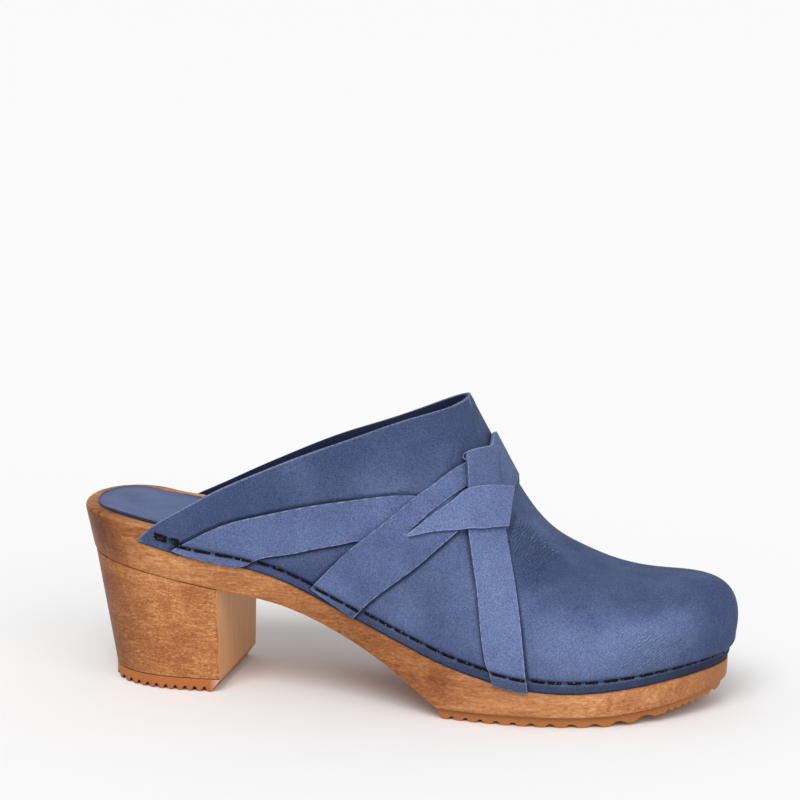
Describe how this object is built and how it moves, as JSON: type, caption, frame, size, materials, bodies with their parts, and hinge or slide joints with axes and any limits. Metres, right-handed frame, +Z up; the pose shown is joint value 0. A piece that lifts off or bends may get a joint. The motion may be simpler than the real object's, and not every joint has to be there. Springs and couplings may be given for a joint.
{
  "type": "clog",
  "caption": "Right-foot backless clog: carved wooden sole on a wooden block heel with ribbed rubber treads, and a closed-toe nubuck upper with crossing straps knotted at the instep.",
  "frame": {"origin": "floor point under the middle of the clog's length and width", "axes": "+X from heel to toe, +Y to the inner side of the foot, +Z up"},
  "size_m": [0.2546, 0.0914, 0.1146],
  "materials": {
    "sole_wood": "oiled, satin",
    "heel_wood": "oiled, satin",
    "heel_rubber": "matt",
    "tread_rubber": "matt",
    "sock_leather": "matt",
    "upper_nubuck": "buffed nap",
    "strap_nubuck": "buffed nap"
  },
  "bodies": {
    "root": {"wood_sole": "sole_wood", "heel_block": "heel_wood", "heel_lift": "heel_rubber", "forefoot_outsole": "tread_rubber", "insole": "sock_leather", "upper": "upper_nubuck", "strap_rear": "strap_nubuck", "strap_cross": "strap_nubuck", "strap_front": "strap_nubuck", "knot_wrap": "strap_nubuck", "knot_tail": "strap_nubuck"}
  },
  "joints": []
}
